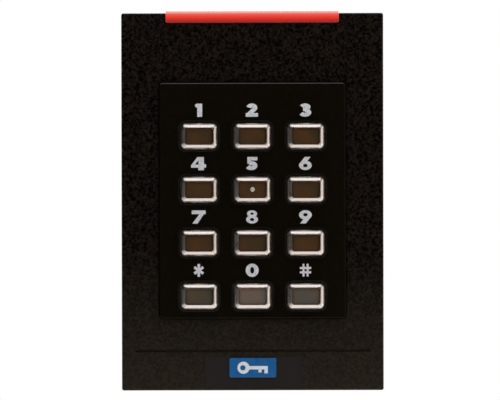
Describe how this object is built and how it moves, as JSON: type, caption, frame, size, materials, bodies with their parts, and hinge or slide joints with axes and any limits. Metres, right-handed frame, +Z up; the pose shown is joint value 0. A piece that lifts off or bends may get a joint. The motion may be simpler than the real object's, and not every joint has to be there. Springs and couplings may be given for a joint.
{
  "type": "keypad access reader",
  "caption": "Wall-mounted keypad access reader: flat black body with a light bar at the top, a raised panel of sprung metal-framed keys and a small badge, hooked on a wall plate.",
  "frame": {"origin": "middle of the reader's width and height, on the wall plane that the mounting plate's back lies on", "axes": "+X to the right as seen from the front, +Y into the wall, +Z up; the keys face -Y"},
  "size_m": [0.0846, 0.028, 0.122],
  "materials": {
    "cover_black": "fine sand-grain moulding texture, low sheen",
    "panel_black": "smooth satin moulding",
    "light_red": "translucent red, glossy",
    "key_metal": "satin plated metal with a fine grain",
    "window_smoke": "smoked translucent insert, semi-gloss",
    "badge_blue": "blue gloss plate",
    "badge_mark": "white print",
    "label_film": "dark satin film",
    "print_silver": "silver-grey print",
    "rear_black": "plain black moulding",
    "steel": "zinc-plated steel",
    "brass": "plain turned brass",
    "silicone": "translucent grey silicone",
    "seal_rubber": "black rubber",
    "board_green": "green solder mask",
    "chip_black": "moulded black component",
    "terminal_green": "green moulded terminal",
    "connector_white": "off-white moulded connector",
    "led_white": "light-emitting diode body",
    "copper": "enamelled copper wire",
    "gold": "gold-plated pad"
  },
  "bodies": {
    "reader": {"mounting_plate": "rear_black", "screw_insert": "brass", "security_screw": "steel", "front_cover": "cover_black", "light_bar": "light_red", "light_bar_leds": "led_white", "keypad_panel": "panel_black", "keypad_mat": "silicone", "keypad_board": "board_green", "keypad_screws": "steel", "contact_pads": "gold", "backlight_leds": "led_white", "keypad_plug": "chip_black", "keypad_socket": "connector_white", "main_board": "board_green", "board_screws": "steel", "antenna_coil": "copper", "processor_chip": "chip_black", "radio_chip": "chip_black", "crystal": "steel", "power_capacitor": "chip_black", "beeper": "chip_black", "tamper_sensor": "chip_black", "terminal_block_upper": "terminal_green", "terminal_block_lower": "terminal_green", "terminal_screws": "steel", "rear_housing": "rear_black", "housing_seal": "seal_rubber", "housing_screws": "steel", "badge_label": "label_film", "badge": "badge_blue"},
    "key_1": {"key_frame_1": "key_metal", "key_window_1": "window_smoke"},
    "key_2": {"key_frame_2": "key_metal", "key_window_2": "window_smoke"},
    "key_3": {"key_frame_3": "key_metal", "key_window_3": "window_smoke"},
    "key_4": {"key_frame_4": "key_metal", "key_window_4": "window_smoke"},
    "key_5": {"key_frame_5": "key_metal", "key_window_5": "window_smoke"},
    "key_6": {"key_frame_6": "key_metal", "key_window_6": "window_smoke"},
    "key_7": {"key_frame_7": "key_metal", "key_window_7": "window_smoke"},
    "key_8": {"key_frame_8": "key_metal", "key_window_8": "window_smoke"},
    "key_9": {"key_frame_9": "key_metal", "key_window_9": "window_smoke"},
    "key_star": {"key_frame_star": "key_metal", "key_window_star": "window_smoke"},
    "key_0": {"key_frame_0": "key_metal", "key_window_0": "window_smoke"},
    "key_hash": {"key_frame_hash": "key_metal", "key_window_hash": "window_smoke"}
  },
  "joints": [
    {"name": "key_1_press", "type": "slide", "parent": "reader", "child": "key_1", "axis": [0, 1, 0], "range_m": [0, 0.0012], "stiffness_N_per_m": 600, "springref_m": -0.0015, "deforming": ["keypad_mat"]},
    {"name": "key_2_press", "type": "slide", "parent": "reader", "child": "key_2", "axis": [0, 1, 0], "range_m": [0, 0.0012], "stiffness_N_per_m": 600, "springref_m": -0.0015, "deforming": ["keypad_mat"]},
    {"name": "key_3_press", "type": "slide", "parent": "reader", "child": "key_3", "axis": [0, 1, 0], "range_m": [0, 0.0012], "stiffness_N_per_m": 600, "springref_m": -0.0015, "deforming": ["keypad_mat"]},
    {"name": "key_4_press", "type": "slide", "parent": "reader", "child": "key_4", "axis": [0, 1, 0], "range_m": [0, 0.0012], "stiffness_N_per_m": 600, "springref_m": -0.0015, "deforming": ["keypad_mat"]},
    {"name": "key_5_press", "type": "slide", "parent": "reader", "child": "key_5", "axis": [0, 1, 0], "range_m": [0, 0.0012], "stiffness_N_per_m": 600, "springref_m": -0.0015, "deforming": ["keypad_mat"]},
    {"name": "key_6_press", "type": "slide", "parent": "reader", "child": "key_6", "axis": [0, 1, 0], "range_m": [0, 0.0012], "stiffness_N_per_m": 600, "springref_m": -0.0015, "deforming": ["keypad_mat"]},
    {"name": "key_7_press", "type": "slide", "parent": "reader", "child": "key_7", "axis": [0, 1, 0], "range_m": [0, 0.0012], "stiffness_N_per_m": 600, "springref_m": -0.0015, "deforming": ["keypad_mat"]},
    {"name": "key_8_press", "type": "slide", "parent": "reader", "child": "key_8", "axis": [0, 1, 0], "range_m": [0, 0.0012], "stiffness_N_per_m": 600, "springref_m": -0.0015, "deforming": ["keypad_mat"]},
    {"name": "key_9_press", "type": "slide", "parent": "reader", "child": "key_9", "axis": [0, 1, 0], "range_m": [0, 0.0012], "stiffness_N_per_m": 600, "springref_m": -0.0015, "deforming": ["keypad_mat"]},
    {"name": "key_star_press", "type": "slide", "parent": "reader", "child": "key_star", "axis": [0, 1, 0], "range_m": [0, 0.0012], "stiffness_N_per_m": 600, "springref_m": -0.0015, "deforming": ["keypad_mat"]},
    {"name": "key_0_press", "type": "slide", "parent": "reader", "child": "key_0", "axis": [0, 1, 0], "range_m": [0, 0.0012], "stiffness_N_per_m": 600, "springref_m": -0.0015, "deforming": ["keypad_mat"]},
    {"name": "key_hash_press", "type": "slide", "parent": "reader", "child": "key_hash", "axis": [0, 1, 0], "range_m": [0, 0.0012], "stiffness_N_per_m": 600, "springref_m": -0.0015, "deforming": ["keypad_mat"]}
  ]
}
